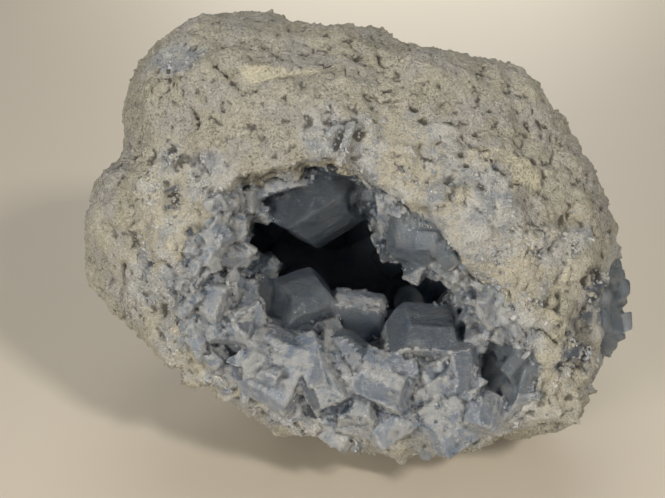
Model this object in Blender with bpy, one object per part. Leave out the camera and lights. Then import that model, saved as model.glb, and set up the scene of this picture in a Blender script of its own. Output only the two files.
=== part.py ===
"""Celestite geode: a hollow nodule of marly limestone, broken open at the front and lined with celestite.

Metres, +Z up. The nodule is drawn square-on to its broken face, in the face frame: u to the right, v up along
the face, w out of the face. The face leans back from upright, so the face frame is turned about X into the
world, and the whole is then set down with its small flat spot on z = 0.
"""

import math
import random

import bmesh
import bpy
import numpy as np
from mathutils import Matrix, Vector, geometry, noise

MM = 0.001

# The nodule. All the sizes here are real millimetres in the face frame. FULLNESS rounds it off towards front
# and back: 2 is an ellipse, more is boxier. Lumps are pairs of size and height. REST_CUT is what the small
# flat rest spot takes off the bottom.
FACE_LEAN = math.radians(25)
NODULE_CENTRE = (10, 5)
DEPTH_FRONT = 88
DEPTH_BACK = 92
FULLNESS = 2.6
BROAD_LUMPS = (42, 6.0)
SMALL_LUMPS = (19, 3.4)
REST_CUT = 6.5
NODULE_FACES_KEPT = 0.43
FLAT_ENOUGH = math.radians(0.5)
OUTLINE = [
    (-120, -1), (-117, 21), (-115, 34), (-108, 44), (-102, 49), (-104, 64), (-100, 77), (-90, 95), (-78, 105),
    (-61, 113), (-49, 115), (-31, 114), (-20, 110), (4, 109), (21, 105), (35, 100), (50, 102), (68, 97),
    (86, 87), (103, 73), (115, 60), (126, 39), (133, 21), (139, 2), (136, -18), (132, -42), (128, -59),
    (119, -81), (106, -90), (89, -93), (71, -95), (57, -99), (45, -97), (26, -99), (8, -98), (-5, -92),
    (-24, -90), (-39, -80), (-62, -66), (-76, -59), (-93, -40), (-108, -31), (-116, -18),
]

# The groove where the left lobe steps back from the broken face, as (u, v) points down the face.
GROOVE = [(-108, 50), (-98, 30), (-96, 0), (-86, -24)]
GROOVE_DEPTH = 5.5
GROOVE_WIDTH = 7
GROOVE_STARTS = 12

# The hollow: a chamber behind the face, and a mouth that widens downwards into the broken slope. Each mouth
# section gives its w and the opening's outline there, anticlockwise from the right.
CHAMBER_CENTRE = Vector((8, 1, -8))
CHAMBER_RADII = Vector((76, 49, 60))
CHAMBER_LUMPS = (30, 5.0)
MOUTH_AXIS = (8, -20)
MOUTH_SECTIONS = [
    (-15, [(58, -16), (46, 12), (8, 22), (-26, 20), (-40, -2), (-30, -28), (8, -36), (46, -32)]),
    (30, [(62, -15), (40, 0), (26, 14), (16, 30), (4, 37), (-18, 38), (-30, 30), (-42, 27), (-46, 6),
          (-50, -14), (-46, -34), (-20, -48), (20, -52), (62, -46), (72, -30)]),
    (50, [(62, -13), (37, -4), (25, 10), (16, 26), (4, 36), (-18, 37), (-26, 29), (-42, 29), (-48, 8),
          (-58, -10), (-66, -34), (-50, -58), (-10, -74), (36, -80), (74, -76), (84, -48), (72, -26)]),
    (84, [(64, -11), (50, 2), (37, 15), (21, 28), (4, 37), (-18, 38), (-27, 30), (-46, 31), (-60, 10),
          (-72, -12), (-82, -42), (-60, -78), (-16, -104), (40, -114), (92, -104), (95, -56), (82, -28)]),
    (120, [(78, -4), (70, 16), (52, 34), (26, 42), (4, 46), (-20, 46), (-36, 40), (-56, 38), (-76, 12),
           (-90, -14), (-100, -44), (-74, -90), (-20, -120), (40, -130), (106, -120), (112, -62), (96, -28)]),
]
MOUTH_RINGS = (-15, 30, 50, 67, 84, 120)
MOUTH_SIDES = 36
MOUTH_LUMPS = (16, 3.0)

# The crust of crystals on the hollow's wall. Under the roof it stops short of the rim, on a plane that is
# LINING_LIMIT out from the face frame's origin and slopes by LINING_SLOPE.
CRUST_THICKNESS = 6.5
CRUST_GAP = 0.9
TRIM_GAP = 0.6
RIM_SETBACK = 1.5
LINING_LIMIT = 66
LINING_SLOPE = 0.24
BLOCK_REACH = 300

# The main crystals: middle of the head (u, v, w), direction that it points in, width, thickness, length, how
# far it is turned on its axis in degrees, and how pointed its roof is, from 0 for flat to 1 for sharp.
MAIN_CRYSTALS = [
    ((-3, 15, 50), (0.30, -0.80, 0.48), 40, 29, 46, 20, 0.45),
    ((-14, -22, 36), (0.10, 0.72, 0.68), 33, 27, 44, 35, 0.55),
    ((-35, -17, 40), (-0.15, 0.85, 0.50), 12, 19, 34, -20, 0.75),
    ((-27, -53, 59), (-0.30, 0.25, 0.92), 34, 31, 34, 15, 0.35),
    ((12, -27, 35), (0.05, 0.80, 0.60), 27, 15, 28, -8, 0.25),
    ((9, -44, 60), (-0.05, 0.62, 0.78), 19, 21, 34, 40, 0.95),
    ((43, -37, 54), (0.20, 0.55, 0.80), 36, 25, 36, 20, 0.50),
    ((-5, -58, 68), (-0.10, 0.25, 0.96), 19, 25, 30, 5, 0.60),
    ((22, -58, 63), (0.05, 0.30, 0.95), 30, 23, 32, -15, 0.40),
    ((58, -53, 62), (0.12, 0.40, 0.90), 19, 23, 32, 25, 0.60),
    ((57, -75, 57), (0.10, -0.12, 0.98), 36, 27, 28, -6, 0.30),
    ((80, -59, 53), (0.30, 0.25, 0.92), 20, 24, 30, 30, 0.60),
    ((26, -77, 58), (0.02, -0.05, 1.00), 27, 19, 28, 12, 0.35),
    ((1, -81, 52), (-0.05, -0.15, 0.98), 24, 16, 26, -20, 0.40),
    ((-19, -72, 54), (-0.15, -0.10, 0.98), 18, 17, 26, 30, 0.50),
    ((-56, -22, 66), (-0.45, 0.25, 0.86), 19, 18, 30, 10, 0.50),
    ((-45, -32, 62), (-0.20, 0.45, 0.86), 17, 20, 30, 50, 0.60),
    ((-62, -38, 60), (-0.50, 0.05, 0.86), 17, 15, 26, -25, 0.50),
    ((-44, 11, 61), (0.55, -0.10, 0.82), 12, 15, 26, 10, 0.60),
    ((-46, 24, 62), (0.50, -0.45, 0.74), 10, 13, 24, 40, 0.60),
    ((-43, -2, 58), (0.50, 0.30, 0.80), 11, 14, 26, -30, 0.70),
    ((36, 4, 76), (-0.30, -0.45, 0.84), 27, 20, 34, 25, 0.55),
    ((52, -5, 76), (-0.15, -0.40, 0.90), 20, 17, 32, -15, 0.50),
    ((24, 17, 75), (-0.40, -0.45, 0.80), 16, 14, 30, 40, 0.60),
    ((-54, 3, 74), (0.15, 0.05, 0.98), 17, 19, 30, 35, 0.50),
    ((-49, 19, 76), (0.25, -0.20, 0.95), 15, 14, 28, 10, 0.55),
    ((-62, -10, 72), (0.05, 0.20, 0.97), 16, 14, 28, 60, 0.55),
    ((62, -17, 42), (-0.60, 0.25, 0.76), 13, 14, 26, 20, 0.65),
    ((73, -34, 58), (-0.10, 0.45, 0.88), 19, 17, 28, 0, 0.50),
    ((94, -80, 46), (0.35, -0.15, 0.92), 21, 18, 26, 10, 0.35),
    ((86, -43, 62), (-0.10, 0.30, 0.95), 17, 19, 30, 35, 0.50),
    ((72, -19, 68), (-0.30, 0.10, 0.95), 16, 13, 28, -10, 0.60),
    ((90, -62, 55), (0.20, 0.10, 0.97), 18, 16, 28, 50, 0.45),
]

# How every crystal is cut. Lengths that depend on a crystal's own size are shares of its width.
ROOT_SHARE = 0.9
ROOF_HEIGHT = 0.6
ROOF_RUN = 0.45
GABLE_RISE = 0.85
HEAD_OFFSET = 0.2
CORNER_CUTS = 2
CORNER_REACH = (0.78, 0.92)
CRYSTAL_SEED = 41

# The smaller crystals that fill the wall between the main ones. The chamber's lie on a spiral of directions
# that stops short of the mouth, and the slope's between two angles round the mouth and two levels of w.
FILLING_THICKNESS = (0.7, 1.1)
FILLING_STANDS_OUT = (0.7, 1.2)
FILLING_LEAN = 0.35
FILLING_SHARPNESS = (0.3, 0.9)
CHAMBER_CRYSTALS = 28
CHAMBER_CRYSTAL_SIZE = (11, 20)
MOUTH_SIDE_OF_CHAMBER = 0.55
SLOPE_CRYSTALS = 20
SLOPE_CRYSTAL_SIZE = (10, 18)
SLOPE_ANGLES = (170, 370)
SLOPE_LEVELS = (14, 56)

# The druse on the right flank, where a second break bares the same celestite layer.
FLANK_CRYSTALS = [
    ((138, -8, 6), (0.90, 0.20, 0.25), 20, 15, 26, 10, 0.60),
    ((137, -22, 12), (0.95, -0.10, 0.20), 16, 19, 26, 40, 0.50),
    ((132, -38, 20), (0.90, -0.25, 0.30), 18, 14, 26, -20, 0.60),
    ((132, -16, 30), (0.85, 0.05, 0.45), 15, 15, 24, 0, 0.55),
    ((126, -34, 38), (0.78, -0.20, 0.60), 16, 14, 22, 30, 0.50),
    ((124, -54, 24), (0.86, -0.45, 0.30), 17, 13, 24, 15, 0.50),
    ((117, -50, 44), (0.72, -0.35, 0.60), 15, 13, 22, 60, 0.50),
    ((131, -34, 0), (0.90, -0.25, -0.30), 15, 15, 24, 25, 0.50),
]
FLANK_POCKET_CENTRE = Vector((131, -33, 21))
FLANK_POCKET_RADII = Vector((13, 32, 34))
FLANK_LUMPS = (13, 9.0)

ROCK_COLOUR = (0.52, 0.49, 0.40)
CELESTITE_COLOUR = (0.55, 0.63, 0.72)


def clear_scene():
    for old in list(bpy.data.objects):
        bpy.data.objects.remove(old, do_unlink=True)


def new_collection(name):
    collection = bpy.data.collections.new(name)
    bpy.context.scene.collection.children.link(collection)
    return collection


def add_object(name, mesh, collection):
    made = bpy.data.objects.new(name, mesh)
    collection.objects.link(made)
    return made


def icosphere(name, subdivisions, collection, place):
    """An icosphere whose vertices, all one unit from its centre, are each moved to place(vertex)."""
    mesh = bpy.data.meshes.new(name)
    shape = bmesh.new()
    bmesh.ops.create_icosphere(shape, subdivisions=subdivisions, radius=1.0)
    for vertex in shape.verts:
        vertex.co = place(vertex.co.copy())
    shape.to_mesh(mesh)
    shape.free()
    return add_object(name, mesh, collection)


def combine(target, operation, *others):
    """Joins, cuts or intersects target with the other objects, one Boolean each, and removes them."""
    for other in others:
        modifier = target.modifiers.new("combine", "BOOLEAN")
        modifier.operation = operation
        modifier.solver = "EXACT"
        modifier.object = other
        bpy.context.view_layer.update()
        graph = bpy.context.evaluated_depsgraph_get()
        result = bpy.data.meshes.new_from_object(target.evaluated_get(graph))
        target.modifiers.clear()
        target.data = result
        bpy.data.objects.remove(other, do_unlink=True)
    return target


def keep_main_body(made):
    """Leaves out the crumbs that trimming cuts off and the voids sealed between crystals."""
    shape = bmesh.new()
    shape.from_mesh(made.data)
    unseen = set(shape.verts)
    islands = []
    while unseen:
        island, edge_of_search = set(), [unseen.pop()]
        while edge_of_search:
            vertex = edge_of_search.pop()
            island.add(vertex)
            for edge in vertex.link_edges:
                other = edge.other_vert(vertex)
                if other in unseen:
                    unseen.remove(other)
                    edge_of_search.append(other)
        islands.append(island)
    main_body = max(islands, key=len)
    bmesh.ops.delete(shape, geom=[v for v in shape.verts if v not in main_body], context="VERTS")
    shape.to_mesh(made.data)
    shape.free()
    return made


def reach_to(outline, centre, angle):
    """Distance from centre to an outline, in millimetres, in a direction of the face."""
    along = [u - centre[0] for u, _ in outline]
    up = [v - centre[1] for _, v in outline]
    angles = np.arctan2(up, along)
    return float(np.interp(angle, angles, np.hypot(along, up), period=2 * math.pi))


def groove(point):
    """Depth of the groove beside the left lobe, on the front of the nodule only."""
    spot = Vector((point.x, point.y))
    nearest = math.inf
    for start, end in zip(GROOVE, GROOVE[1:]):
        foot, share = geometry.intersect_point_line(spot, Vector(start), Vector(end))
        held = Vector(start).lerp(Vector(end), min(1, max(0, share)))
        nearest = min(nearest, (spot - held.to_2d()).length)
    return GROOVE_DEPTH * math.exp(-((nearest / GROOVE_WIDTH) ** 2)) * min(1, max(0, point.z / GROOVE_STARTS))


def lumps(point, kind):
    """How far the surface stands out at a point, for one size of natural lumps."""
    size, height = kind
    return height * noise.noise(point / size)


def nodule_point(unit, grow):
    """Where a unit direction meets the nodule's skin: the outline, rounded off towards front and back."""
    angle = math.atan2(unit.y, unit.x)
    across = math.hypot(unit.x, unit.y)
    power = 2 / FULLNESS
    depth = DEPTH_FRONT if unit.z > 0 else DEPTH_BACK
    reach = reach_to(OUTLINE, NODULE_CENTRE, angle) * across**power
    w = math.copysign(depth * abs(unit.z) ** power, unit.z)
    point = Vector((
        NODULE_CENTRE[0] + reach * math.cos(angle),
        NODULE_CENTRE[1] + reach * math.sin(angle),
        w,
    ))
    clear_of_outline = min(1, abs(unit.z) * 2)
    rough = lumps(point, BROAD_LUMPS) * clear_of_outline + lumps(point, SMALL_LUMPS) - groove(point)
    return (point + unit * (rough + grow)) * MM


def nodule(name, collection, grow=0.0):
    """The whole nodule, thinned to the faces that its lumps need. grow thickens it on every side."""
    made = icosphere(name, 5, collection, lambda unit: nodule_point(unit, grow))
    thinning = made.modifiers.new("thinning", "DECIMATE")
    thinning.ratio = NODULE_FACES_KEPT
    bpy.context.view_layer.update()
    kept = bpy.data.meshes.new_from_object(made.evaluated_get(bpy.context.evaluated_depsgraph_get()))
    made.modifiers.clear()
    made.data = kept
    return made


def chamber_point(unit, shrink):
    """Where a unit direction meets the chamber's wall, drawn in by shrink."""
    point = Vector(unit[i] * CHAMBER_RADII[i] for i in range(3))
    rough = lumps(point, CHAMBER_LUMPS)
    return (CHAMBER_CENTRE + point + unit * (rough - shrink)) * MM


def mouth_radius(angle, w):
    """Distance from the mouth's axis to its wall, between the sections."""
    levels = [level for level, _ in MOUTH_SECTIONS]
    reaches = [reach_to(outline, MOUTH_AXIS, angle) for _, outline in MOUTH_SECTIONS]
    return float(np.interp(w, levels, reaches))


def mouth_point(angle, w, shrink):
    point = Vector((math.cos(angle), math.sin(angle), 0))
    spot = Vector((*MOUTH_AXIS, w)) + point * mouth_radius(angle, w)
    rough = lumps(spot, MOUTH_LUMPS)
    return (spot + point * (rough - shrink)) * MM


def mouth(name, collection, shrink, sides):
    """The mouth and the slope below it, as a loft through its rings."""
    shape = bmesh.new()
    rings = []
    for w in MOUTH_RINGS:
        turns = [2 * math.pi * side / sides for side in range(sides)]
        rings.append([shape.verts.new(mouth_point(turn, w, shrink)) for turn in turns])
    for inner, outer in zip(rings, rings[1:]):
        for side in range(sides):
            ahead = (side + 1) % sides
            shape.faces.new((inner[side], inner[ahead], outer[ahead], outer[side]))
    shape.faces.new(list(reversed(rings[0])))
    shape.faces.new(rings[-1])
    bmesh.ops.triangulate(shape, faces=shape.faces[:])
    mesh = bpy.data.meshes.new(name)
    shape.to_mesh(mesh)
    shape.free()
    return add_object(name, mesh, collection)


def hollow(name, collection, shrink=0.0, sides=MOUTH_SIDES):
    """Chamber and mouth as one cutter, drawn in by shrink."""
    chamber = icosphere(name, 2, collection, lambda unit: chamber_point(unit, shrink))
    return combine(chamber, "UNION", mouth(name + "_mouth", collection, shrink, sides))


def lining_block(name, collection):
    """Everything behind the plane that the crust under the roof stops at."""
    mesh = bpy.data.meshes.new(name)
    shape = bmesh.new()
    bmesh.ops.create_cube(shape, size=2 * BLOCK_REACH * MM)
    tilt = Matrix.Rotation(-math.atan(LINING_SLOPE), 4, "X")
    front = Matrix.Translation((0, 0, LINING_LIMIT * MM))
    place = front @ tilt @ Matrix.Translation((0, 0, -BLOCK_REACH * MM))
    bmesh.ops.transform(shape, matrix=place, verts=shape.verts[:])
    shape.to_mesh(mesh)
    shape.free()
    return add_object(name, mesh, collection)


def flank_pocket(name, collection, shrink=0.0):
    """The shallow break on the right flank, drawn in by shrink."""
    def place(unit):
        point = Vector(unit[i] * FLANK_POCKET_RADII[i] for i in range(3))
        return (FLANK_POCKET_CENTRE + point + unit * (lumps(point, FLANK_LUMPS) - shrink)) * MM
    return icosphere(name, 2, collection, place)


def crystal(name, collection, picker, corner_cuts, head, points, width, thickness, length, turn, sharpness):
    """One blocky celestite crystal: a prism with a chisel-shaped roof, and flat faces across some corners."""
    mesh = bpy.data.meshes.new(name)
    shape = bmesh.new()
    bmesh.ops.create_cube(shape, size=1.0)
    roof = ROOF_HEIGHT * sharpness * width
    for vertex in shape.verts:
        height = 0 if vertex.co.z > 0 else -length * ROOT_SHARE
        vertex.co = Vector((vertex.co.x * width, vertex.co.y * thickness, height))
    for side in (-1, 1):
        cut_away(shape, (side * width / 2, 0, -roof), (side * roof, 0, ROOF_RUN * sharpness * width))
        cut_away(shape, (0, side * thickness / 2, -roof / 3), (0, side * roof, GABLE_RISE * width))
    for _ in range(corner_cuts):
        across = Vector((picker.choice((-1, 1)), picker.choice((-1, 1)), picker.uniform(-0.2, 0.9)))
        corner = Vector((width / 2 * across.x, thickness / 2 * across.y, -roof))
        cut_away(shape, corner * picker.uniform(*CORNER_REACH), across)
    out = Vector(points).normalized()
    placing = Matrix.Translation(Vector(head)) @ out.to_track_quat("Z", "Y").to_matrix().to_4x4()
    placing = placing @ Matrix.Rotation(math.radians(turn), 4, "Z")
    placing = placing @ Matrix.Translation((0, 0, width * HEAD_OFFSET))
    bmesh.ops.transform(shape, matrix=Matrix.Scale(MM, 4) @ placing, verts=shape.verts[:])
    bmesh.ops.triangulate(shape, faces=shape.faces[:])
    shape.to_mesh(mesh)
    shape.free()
    return add_object(name, mesh, collection)


def cut_away(shape, point, normal):
    """Takes away what lies beyond a plane, and closes the cut with one flat face."""
    cut = bmesh.ops.bisect_plane(
        shape, geom=shape.verts[:] + shape.edges[:] + shape.faces[:],
        plane_co=point, plane_no=normal, clear_outer=True,
    )
    rim = [piece for piece in cut["geom_cut"] if isinstance(piece, bmesh.types.BMEdge)]
    if rim:
        bmesh.ops.holes_fill(shape, edges=rim)


def tilted(direction, picker, spread):
    """The direction, leant a little to a random side."""
    jitter = Vector((picker.uniform(-1, 1), picker.uniform(-1, 1), picker.uniform(-1, 1)))
    return (direction + jitter * spread).normalized()


def filling_crystal(name, collection, root, inward, size, picker):
    """A crystal that grows from a spot on the wall, sunk a little into the lining."""
    width = picker.uniform(*size)
    thickness = width * picker.uniform(*FILLING_THICKNESS)
    length = CRUST_THICKNESS + width * picker.uniform(*FILLING_STANDS_OUT)
    head = Vector(root) / MM + inward * length * ROOT_SHARE
    turn = picker.uniform(0, 180)
    sharpness = picker.uniform(*FILLING_SHARPNESS)
    return crystal(name, collection, picker, 0, head, inward, width, thickness, length, turn, sharpness)


def chamber_fill(collection, picker):
    """Crystals all over the chamber's wall, spaced evenly by a golden spiral of directions."""
    made = []
    golden_angle = math.pi * (3 - math.sqrt(5))
    for i in range(CHAMBER_CRYSTALS):
        z = 1 - 2 * (i + 0.5) / CHAMBER_CRYSTALS
        if z > MOUTH_SIDE_OF_CHAMBER:
            continue
        flat = math.sqrt(1 - z * z)
        unit = Vector((flat * math.cos(golden_angle * i), flat * math.sin(golden_angle * i), z))
        root = chamber_point(unit, CRUST_GAP)
        normal = Vector(unit[axis] / CHAMBER_RADII[axis] for axis in range(3)).normalized()
        inward = tilted(-normal, picker, FILLING_LEAN)
        grown = filling_crystal("chamber_crystal", collection, root, inward, CHAMBER_CRYSTAL_SIZE, picker)
        made.append(grown)
    return made


def slope_fill(collection, picker):
    """Smaller crystals between the main ones, on the slope below the mouth and up its sides."""
    made = []
    golden_share = (math.sqrt(5) - 1) / 2
    first_angle, last_angle = SLOPE_ANGLES
    first_level, last_level = SLOPE_LEVELS
    for i in range(SLOPE_CRYSTALS):
        angle = math.radians(first_angle + (last_angle - first_angle) * ((i * golden_share) % 1.0))
        w = first_level + (last_level - first_level) * ((i + 0.5) / SLOPE_CRYSTALS)
        root = mouth_point(angle, w, CRUST_GAP)
        further_in = mouth_point(angle, w - CRUST_THICKNESS, CRUST_GAP)
        further_round = mouth_point(angle + 0.1, w, CRUST_GAP)
        normal = (further_round - root).cross(root - further_in).normalized()
        if normal.dot(Vector((math.cos(angle), math.sin(angle), 0))) > 0:
            normal.negate()
        inward = tilted(normal, picker, FILLING_LEAN)
        grown = filling_crystal("slope_crystal", collection, root, inward, SLOPE_CRYSTAL_SIZE, picker)
        made.append(grown)
    return made


def main_crystals(table, collection, picker):
    return [crystal("main_crystal", collection, picker, CORNER_CUTS, *row) for row in table]


def make_rock(name, collection, cutters, grow=0.0):
    """The nodule with its hollow and its flank break cut out. grow thickens it on every side."""
    rock = nodule(name, collection, grow)
    combine(rock, "DIFFERENCE", hollow(name + "_hollow", cutters, grow))
    return keep_main_body(combine(rock, "DIFFERENCE", flank_pocket(name + "_flank", cutters, grow)))


def make_crust(name, collection, cutters):
    """The lining of the hollow, with every crystal grown into it, trimmed clear of the rock."""
    crust = hollow(name, collection, CRUST_GAP)
    room_inside = hollow("room", cutters, CRUST_GAP + CRUST_THICKNESS, sides=MOUTH_SIDES // 2)
    combine(crust, "INTERSECT", nodule("skin", cutters, -RIM_SETBACK))
    combine(crust, "INTERSECT", lining_block("lining_block", cutters))
    combine(crust, "DIFFERENCE", room_inside)
    picker = random.Random(CRYSTAL_SEED)
    grown = main_crystals(MAIN_CRYSTALS, cutters, picker)
    grown += chamber_fill(cutters, picker)
    grown += slope_fill(cutters, picker)
    combine(crust, "UNION", *grown)
    return keep_main_body(combine(crust, "DIFFERENCE", make_rock("trim", cutters, cutters, TRIM_GAP)))


def make_flank(name, collection, cutters):
    """The flank's crystals, grown into a bed that fills the bottom of the break."""
    flank = flank_pocket(name, collection, CRUST_GAP)
    combine(flank, "INTERSECT", nodule("skin", cutters, -RIM_SETBACK))
    picker = random.Random(CRYSTAL_SEED)
    combine(flank, "UNION", *main_crystals(FLANK_CRYSTALS, cutters, picker))
    return keep_main_body(combine(flank, "DIFFERENCE", make_rock("trim", cutters, cutters, TRIM_GAP)))


def material(name, colour, roughness):
    made = bpy.data.materials.new(name)
    made.use_nodes = True
    shader = made.node_tree.nodes["Principled BSDF"]
    shader.inputs["Base Color"].default_value = (*colour, 1)
    shader.inputs["Roughness"].default_value = roughness
    shader.inputs["Metallic"].default_value = 0.0
    return made


def set_down(objects):
    """Turns the face frame into the world and stands the geode on its rest spot, centred on the origin."""
    lean = Matrix.Rotation(math.pi / 2 - FACE_LEAN, 4, "X")
    for made in objects:
        made.data.transform(lean)
    lowest = min(vertex.co.z for made in objects for vertex in made.data.vertices)
    floor = lowest + REST_CUT * MM
    for made in objects:
        shape = bmesh.new()
        shape.from_mesh(made.data)
        bmesh.ops.dissolve_limit(
            shape, angle_limit=FLAT_ENOUGH, verts=shape.verts[:], edges=shape.edges[:],
        )
        cut_away(shape, (0, 0, floor), (0, 0, -1))
        bmesh.ops.triangulate(shape, faces=shape.faces[:])
        shape.to_mesh(made.data)
        shape.free()
    corners = np.array([vertex.co for made in objects for vertex in made.data.vertices])
    middle = (corners.min(0) + corners.max(0)) / 2
    for made in objects:
        made.data.transform(Matrix.Translation((-middle[0], -middle[1], -floor)))


def main():
    clear_scene()
    geode = new_collection("celestite_geode")
    cutters = new_collection("cutters")
    rock = make_rock("rock_matrix", geode, cutters)
    crust = make_crust("celestite_crust", geode, cutters)
    flank = make_flank("flank_celestite", geode, cutters)
    set_down([rock, crust, flank])
    rock.data.materials.clear()
    rock.data.materials.append(material("marly_limestone", ROCK_COLOUR, 0.9))
    celestite = material("celestite", CELESTITE_COLOUR, 0.25)
    for made in (crust, flank):
        made.data.materials.clear()
        made.data.materials.append(celestite)


main()
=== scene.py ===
import math
import random

import bmesh
import bpy
import numpy as np
from mathutils import Matrix, Vector, noise
from mathutils.bvhtree import BVHTree


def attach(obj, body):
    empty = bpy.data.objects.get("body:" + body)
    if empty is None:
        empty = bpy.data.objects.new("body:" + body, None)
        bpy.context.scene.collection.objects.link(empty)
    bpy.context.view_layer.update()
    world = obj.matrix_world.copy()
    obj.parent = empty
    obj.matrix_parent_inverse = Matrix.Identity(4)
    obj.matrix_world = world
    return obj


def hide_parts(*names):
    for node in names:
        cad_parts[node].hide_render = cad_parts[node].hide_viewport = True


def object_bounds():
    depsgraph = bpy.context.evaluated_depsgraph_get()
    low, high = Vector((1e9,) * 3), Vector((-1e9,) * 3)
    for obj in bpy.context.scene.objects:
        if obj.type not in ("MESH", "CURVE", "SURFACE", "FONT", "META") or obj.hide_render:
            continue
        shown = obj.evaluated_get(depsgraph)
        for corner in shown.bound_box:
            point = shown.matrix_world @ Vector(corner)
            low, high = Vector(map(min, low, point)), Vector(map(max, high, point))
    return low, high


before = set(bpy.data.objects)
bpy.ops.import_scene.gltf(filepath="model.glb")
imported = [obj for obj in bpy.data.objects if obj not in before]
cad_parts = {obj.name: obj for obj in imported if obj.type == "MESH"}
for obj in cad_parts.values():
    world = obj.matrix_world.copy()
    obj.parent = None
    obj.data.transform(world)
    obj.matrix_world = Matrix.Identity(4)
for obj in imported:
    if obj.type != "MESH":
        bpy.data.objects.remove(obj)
cad_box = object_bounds()


# The limestone nodule.
# A concretion of marl, crumbly outside, with cracks and pits where crumbs dropped out. It was broken open by
# hand, so the rock around its mouth is massive white celestite, sugary and full of flat grains.

# the broken face: how far it leans back, its middle, and its directions to the right, up and out of the rock
FACE_LEAN = math.radians(25)
FACE_ORIGIN = Vector((-0.0112, -0.0036, 0.0973))
FACE_RIGHT = Vector((1, 0, 0))
FACE_UP = Vector((0, math.sin(FACE_LEAN), math.cos(FACE_LEAN)))
FACE_OUT = Vector((0, -math.cos(FACE_LEAN), math.sin(FACE_LEAN)))
# mesh sizes, in metres: as it is roughed out, and once the grains are in its skin
ROCK_VOXEL = 0.0015
ROCK_SKIN_VOXEL = 0.0016
GRAIN_SPACING = 0.0080
GRAIN_SIZES = (0.005, 0.014)

# ovals on the broken face: millimetres to the right of its middle, millimetres above it, and half sizes
WHITE_ZONES = [
    (-62, 18, 25, 29), (-80, -8, 15, 26), (-57, -29, 21, 18), (30, 38, 34, 24), (5, 46, 24, 14),
    (62, 15, 22, 20), (84, -8, 20, 17), (100, -58, 22, 18), (-70, 86, 13, 9), (108, 6, 11, 11),
]
CLAY_ZONES = [
    (80, 33, 13, 11), (98, -10, 9, 15), (-74, 2, 14, 9), (-24, 77, 15, 5),
    (92, -34, 12, 9), (66, 41, 10, 6),
]
VUG_ZONES = [(110, -44, 11, 13), (-70, 23, 6, 8), (-60, 8, 5, 4), (119, -22, 6, 14)]
# lines on the face, and spots with their radius, all in millimetres
CRACKS = [
    [(-52, 82), (-47, 76), (-41, 70)],
    [(-39, 67), (-33, 69)],
    [(60, 47), (64, 44), (69, 44)],
    [(67, 40), (70, 35), (75, 33)],
    [(77, 27), (80, 29), (84, 28)],
    [(-79, -5), (-70, -8), (-60, -7), (-51, -9)],
    [(86, -37), (93, -36), (99, -41)],
    [(-96, -8), (-100, -20), (-98, -32)],
    [(-64, 62), (-60, 54)],
    [(104, 22), (107, 14)],
    [(20, 88), (24, 82)],
]
PITS = [
    (-51, 80, 3.2), (-43, 72, 3.0), (55, 42, 3.4), (57, 37, 2.6), (5, 76, 2.6), (25, 71, 2.2),
    (36, 62, 2.4), (-82, -7, 3.0), (-71, 24, 4.2), (-69, 20, 3.4), (112, -40, 3.6), (107, -50, 3.0),
    (-92, 44, 2.8), (70, 62, 2.4), (-30, 92, 2.6), (90, 8, 2.2),
]
CRACK_WIDTH = 1.3
CRACK_DEPTH = 3.4
# they are cut only where the surface stands further out than this
FRONT_ONLY = 15


def only_select(piece):
    bpy.ops.object.select_all(action="DESELECT")
    piece.select_set(True)
    bpy.context.view_layer.objects.active = piece


def merged_copy(node, name):
    """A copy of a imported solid, with its loose triangles joined up."""
    piece = bpy.data.objects.new(name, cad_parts[node].data.copy())
    bpy.context.scene.collection.objects.link(piece)
    piece.data.materials.clear()
    only_select(piece)
    bpy.ops.object.mode_set(mode="EDIT")
    bpy.ops.mesh.select_all(action="SELECT")
    bpy.ops.mesh.remove_doubles(threshold=0.00001)
    bpy.ops.object.mode_set(mode="OBJECT")
    return piece


def finish_modifier(piece, kind, **settings):
    """Adds one modifier with its settings and applies it at once."""
    only_select(piece)
    modifier = piece.modifiers.new(kind.lower(), kind)
    for setting, value in settings.items():
        setattr(modifier, setting, value)
    bpy.ops.object.modifier_apply(modifier=modifier.name)


def fuse(piece, other, voxel, wear):
    """Makes two pieces one skin, as crystals grown together are, with its edges rounded off a little."""
    only_select(piece)
    other.select_set(True)
    bpy.ops.object.join()
    finish_modifier(piece, "REMESH", mode="VOXEL", voxel_size=voxel)
    finish_modifier(piece, "SMOOTH", factor=0.5, iterations=wear)


def thin_out(piece, unseen, share_kept):
    """Fewer faces where a piece can't be seen."""
    only_select(piece)
    bpy.ops.object.mode_set(mode="EDIT")
    bpy.ops.mesh.select_all(action="DESELECT")
    bpy.ops.object.mode_set(mode="OBJECT")
    for polygon in piece.data.polygons:
        polygon.select = unseen(polygon.center)
    bpy.ops.object.mode_set(mode="EDIT")
    bpy.ops.mesh.decimate(ratio=share_kept)
    bpy.ops.object.mode_set(mode="OBJECT")


def corners_of(piece):
    """Every vertex place and normal of a piece, as two arrays."""
    places = np.empty(len(piece.data.vertices) * 3, np.float32)
    normals = np.empty(len(piece.data.vertices) * 3, np.float32)
    piece.data.vertices.foreach_get("co", places)
    piece.data.vertices.foreach_get("normal", normals)
    return places.reshape(-1, 3).astype(float), normals.reshape(-1, 3).astype(float)


def move_corners(piece, places):
    """Gives a piece new vertex places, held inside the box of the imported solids."""
    places = np.clip(places, np.array(cad_box[0]), np.array(cad_box[1]))
    piece.data.vertices.foreach_set("co", places.astype(np.float32).ravel())
    piece.data.update()


def hold_in_box(piece):
    move_corners(piece, corners_of(piece)[0])


def set_mask(piece, name, values, domain="POINT"):
    """Stores a number for each vertex or face, for a material to read."""
    mask = piece.data.attributes.get(name) or piece.data.attributes.new(name, "FLOAT", domain)
    mask.data.foreach_set("value", np.asarray(values, np.float32))


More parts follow.
